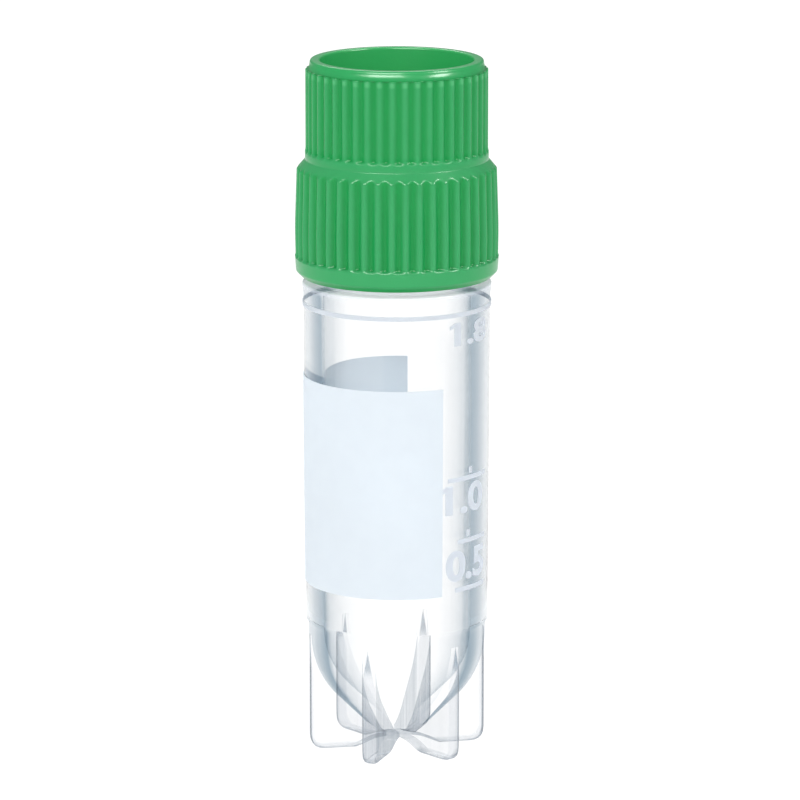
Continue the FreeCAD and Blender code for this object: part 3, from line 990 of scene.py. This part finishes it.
outer_skin = wall_plastic("clear_plastic", STEP + 0.1, OUTER_PAINTED_SHADE)
bore_skin = wall_plastic("clear_plastic_bore", STEP - 0.1, BORE_PAINTED_SHADE)
print("clear plastic:", outer_skin.owner.name, bore_skin.owner.name)

# %% [markdown]
# ## The foot's plastic
# The fins are the same plastic, but their faces are so close together that the eye looks almost straight
# through them. Their faces darken as they turn from the eye, and their outer edges are painted as dark grey
# strips with flow lines in them, darker still where they are seen side on; both are painted shade. Where a fin
# runs out in the bowl, its strip narrows to a painted spear tip. The undersides are painted a little darker, a
# painted shade. Each of these is a mask that is 1 where it holds, worked out from the place and the slope of
# the surface.

# %% Foot masks
LEVEL = (0.35, 0.8)
SIDE_ON = (0.2, 0.62)
BEVEL_STRIP = (0.2, 0.36)
RIM_STRIP = (0.74, 0.92)
SPEAR_SLOPE = 0.18
SPEAR_EDGE = 0.05

milky = material("clear_plastic_foot")
place = own_place(milky)
across, up = across_and_up(milky, place)
facing = milky.node("ShaderNodeLayerWeight", {}, {"Blend": 0.5}, output="Facing")
off_middle = off_fin_plane(milky, place)
_, _, slope = split(milky, milky.node("ShaderNodeNewGeometry", output="Normal"))
level = slope.without_sign().between(*LEVEL)

bevels = off_middle.between(*BEVEL_STRIP) * across.between(FOOT_R - 0.3, FOOT_R - 0.1)
# Painted shade on the undersides.
underside_shade = level * across.between(0.8, 1.6) * (1.0 - across.between(ARCH_R, ARCH_R + 0.6) * 0.55)
past_corner = (across - (FOOT_R - CORNER_R)).at_least(0.0)
below_corner = (CORNER_R - up).at_least(0.0)
corner_reach = (past_corner * past_corner + below_corner * below_corner).root()
# Painted shade: a dark strip along each fin's outer edge and round its corner, narrowing to a spear tip where
# the fin runs out in the bowl.
spear = 1.0 - (off_middle - (FIN_TOP - up) * SPEAR_SLOPE).between(-SPEAR_EDGE, SPEAR_EDGE)
rim_shade_strip = corner_reach.between(*RIM_STRIP) * spear
spear_tip_shade = rim_shade_strip * up.between(FIN_TOP - 2.1, FIN_TOP - 1.1)
# Faces seen side on take more of the painted edge shade.
side_on = facing.between(*SIDE_ON) * (1.0 - level)
print("fins run out at", round(FIN_TOP, 2), "mm")

# %% Foot plastic
# Painted shade: the fins' darkest tint, and how dark the faces are painted as they turn from the eye.
FOOT_PAINTED_SHADE = shade(168, 177, 185)
FACE_GLOOM = ((0.0, 0.01), (0.4, 0.1), (0.7, 0.56), (1.0, 0.9))

cloud = noise(milky, place, scale=420.0, detail=2.0)
streaks = flow_lines(milky, place, scale=2600.0, drawn_out=0.03)
haze = milky.mix(cloud, shade(206, 211, 220), shade(226, 230, 237))
# Painted shade: the undersides, the edge strips seen side on and the spear tips take darker colours and more
# tint.
haze = milky.mix(underside_shade, haze, shade(158, 167, 176))
haze = milky.mix(rim_shade_strip * side_on, haze, shade(110, 120, 130))
haze = milky.mix(spear_tip_shade, haze, shade(118, 138, 154))
gloom = graph(milky, facing, FACE_GLOOM).at_least(rim_shade_strip * (side_on * 0.62 + 0.18))
gloom = gloom.at_least(underside_shade * 0.26) * ((streaks - 0.5) * 1.1 + 1.0)
share = facing * facing * facing * 0.15 + 0.03
share = share + bevels * 0.04 + underside_shade * 0.12 + rim_shade_strip * (side_on * 0.38 + 0.12) + spear_tip_shade * 0.4
clear_to_fill_light(milky, see_through(milky, gloom, FOOT_PAINTED_SHADE, haze, share))
print("foot plastic:", milky.owner.name)

# %% [markdown]
# ## Green plastic
# The cap is opaque green with a satin gloss. The floors of its grooves are painted a deeper green than the
# crests, a painted shade, and the ribs' upper ends get a painted highlight. The well is painted a paler green
# than the lip, painted light in the recess. The moulded surface is never perfectly even, so a faint noise
# moves the colour and the gloss.

# %% Green plastic
green = material("green_plastic")
place = own_place(green)
across, up = across_and_up(green, place)
mottle = noise(green, place, scale=500.0, detail=4.0)
grain = noise(green, place, scale=6000.0, detail=2.0)

on_skirt = 1.0 - up.between(SKIRT_TOP, DRUM_FOOT)
floor_r = on_skirt * (SKIRT_FLOOR_R - DRUM_FLOOR_R) + DRUM_FLOOR_R
raised = (across - floor_r).between(0.0, 0.24)
lip = up.between(DRUM_TOP - 0.05, DRUM_TOP + 0.1)
inside_well = 1.0 - across.between(WELL_R + 0.05, WELL_R + 0.15)
well = up.between(WELL_FLOOR - 0.1, WELL_FLOOR + 0.2) * inside_well
# The band of the ribs' upper ends, where a painted highlight goes.
rib_top_highlight = band(up, DRUM_TOP - 0.5, DRUM_TOP - 0.3, DRUM_TOP - 0.16, DRUM_TOP - 0.02)
seat = band(up, DRUM_FOOT + 0.1, DRUM_FOOT + 0.3, DRUM_BAND_TOP + 0.3, DRUM_BAND_TOP + 0.5)

# Painted shade: the groove floors take a darker green than the crests.
deep = green.mix(mottle, shade(4, 138, 64), shade(10, 143, 68))
crests = green.mix(mottle, shade(46, 150, 88), shade(52, 156, 93))
# Painted light: the well takes a paler green than the lip, though it lies in a recess.
smooth_part = green.mix(well, shade(38, 154, 85), shade(48, 168, 92))
wall_colour = green.mix(lip.at_least(well), green.mix(raised, deep, crests), smooth_part)
# A painted highlight on the crests of the ribs' upper ends.
wall_colour = green.mix(rib_top_highlight * raised * raised * 0.5, wall_colour, shade(98, 190, 130))
green.wear(green.node("ShaderNodeBsdfPrincipled", {}, {
    "Base Color": wall_colour,
    "Roughness": mottle * 0.1 + 0.3,
    "IOR": 1.5,
    "Specular IOR Level": 0.15,
    "Coat Weight": lip * 0.2 + 0.24 - seat * 0.22,
    "Coat Roughness": 0.19,
    "Normal": bump(green, grain, strength=0.05, distance=0.0001),
}))
print("cap plastic:", green.owner.name)

# %% [markdown]
# ## White ink
# The print is a screen-printed white that lets a little light through, so the part of the panel on the far
# side still looks pale from inside. The lines and numbers are a thinner layer of the same ink, so more light
# gets through them, and only the wide panel shows the weave of the screen.

# %% Inks
def ink_film(name, dull, bright, lit_through, thinness, relief=0.0):
    """A printed film: matt paint, mixed by its thinness with what shines through it from behind."""
    ink = material(name)
    weave = noise(ink, own_place(ink), scale=900.0, detail=3.0)
    paint = {"Base Color": ink.mix(weave, dull, bright), "Roughness": 0.5}
    if relief:
        paint["Normal"] = bump(ink, weave, strength=relief, distance=0.0001)
    film = ink.node("ShaderNodeBsdfPrincipled", {}, paint)
    through = ink.node("ShaderNodeBsdfTranslucent", {}, {"Color": lit_through})
    ink.wear(ink.either(thinness, film, through))
    return ink


panel_ink = ink_film(
    "white_ink",
    dull=shade(227, 234, 240),
    bright=shade(233, 240, 245),
    lit_through=shade(230, 237, 243),
    thinness=0.3,
    relief=0.08,
)
line_ink = ink_film(
    "line_ink",
    dull=shade(227, 232, 238),
    bright=shade(233, 238, 243),
    lit_through=shade(228, 233, 240),
    thinness=0.42,
)
print("inks:", panel_ink.owner.name, line_ink.owner.name)

# %% [markdown]
# ## Silicone
# The gasket is a plain ring of milky silicone. It shows only when the cap is off, so a soft white with faint
# clouds is enough.

# %% Silicone
seal = material("silicone")
haze = noise(seal, own_place(seal), scale=700.0, detail=2.0)
seal.wear(seal.node("ShaderNodeBsdfPrincipled", {}, {
    "Base Color": seal.mix(haze, shade(222, 224, 224), shade(238, 240, 240)),
    "Roughness": 0.5,
}))
print("gasket silicone:", seal.owner.name)

# %% [markdown]
# ## Dressing
# Each piece now takes its finish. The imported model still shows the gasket, the panel and the lines itself, so
# these nodes are dressed as they are. The tube keeps three slots, because the union left the outer skin, the
# bore and the fins in slots of their own.

# %% Dress the pieces
def dress(mesh, finish):
    mesh.materials.clear()
    mesh.materials.append(finish.owner)


dress(cap.data, green)
for node, finish in (("cap_gasket", seal), ("writing_panel", panel_ink), ("graduation_print", line_ink)):
    dress(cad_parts[node].data, finish)
for piece in number_pieces:
    dress(piece.data, line_ink)
for number, finish in enumerate((outer_skin, bore_skin, milky)):
    tube.data.materials[number] = finish.owner
print("dressed:", [slot.name for slot in tube.data.materials])

# %% [markdown]
# ## Finish
# Colours are written as they should be seen, so the view transform is Standard.

# %% Finish
bpy.context.scene.view_settings.view_transform = "Standard"
